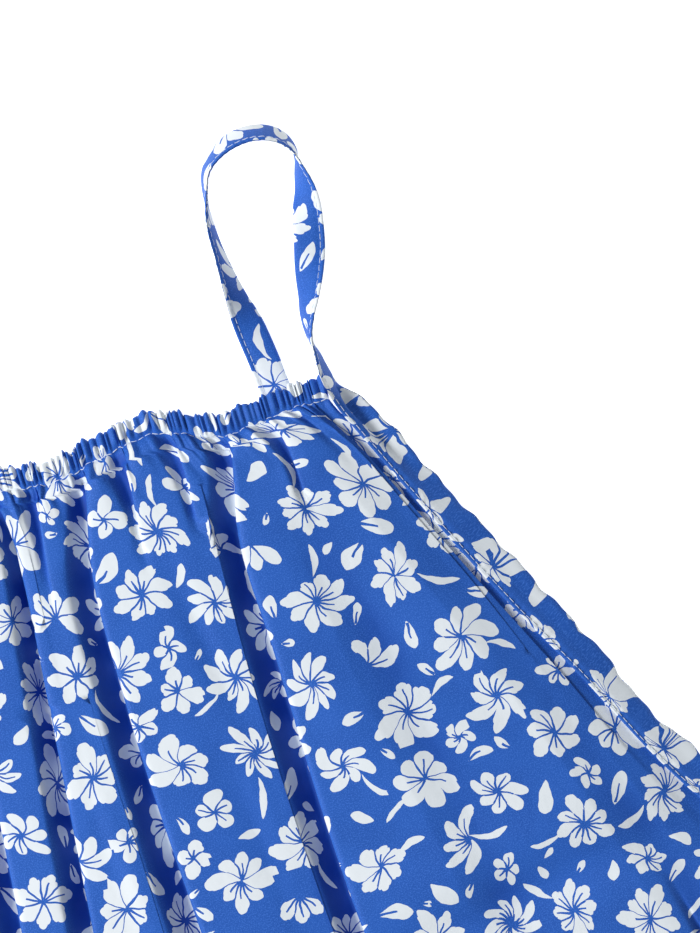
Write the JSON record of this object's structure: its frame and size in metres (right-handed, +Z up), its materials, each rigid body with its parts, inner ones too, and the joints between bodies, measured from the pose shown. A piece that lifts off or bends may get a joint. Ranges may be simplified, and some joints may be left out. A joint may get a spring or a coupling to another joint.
{
  "type": "child's strappy sundress, laid flat",
  "caption": "Child's A-line sundress laid flat, with an elastic gathered neckline, thin shoulder straps and bound armholes.",
  "frame": {"origin": "on the surface the dress lies on, under the middle of its outline", "axes": "+Z up out of the front of the dress, +Y from the hem towards the neckline, +X to the right as seen from above"},
  "size_m": [0.496, 0.5522, 0.0092],
  "materials": {
    "cloth": "thin plain-woven cotton, blue with a white flower and leaf print",
    "strip": "the same printed cotton, cut on the bias and folded double"
  },
  "bodies": {
    "root": {"front_panel": "cloth", "back_panel": "cloth", "front_casing": "cloth", "back_casing": "cloth", "front_binding_left": "strip", "back_binding_left": "strip", "strap_left": "strip", "front_binding_right": "strip", "back_binding_right": "strip", "strap_right": "strip"}
  },
  "joints": []
}
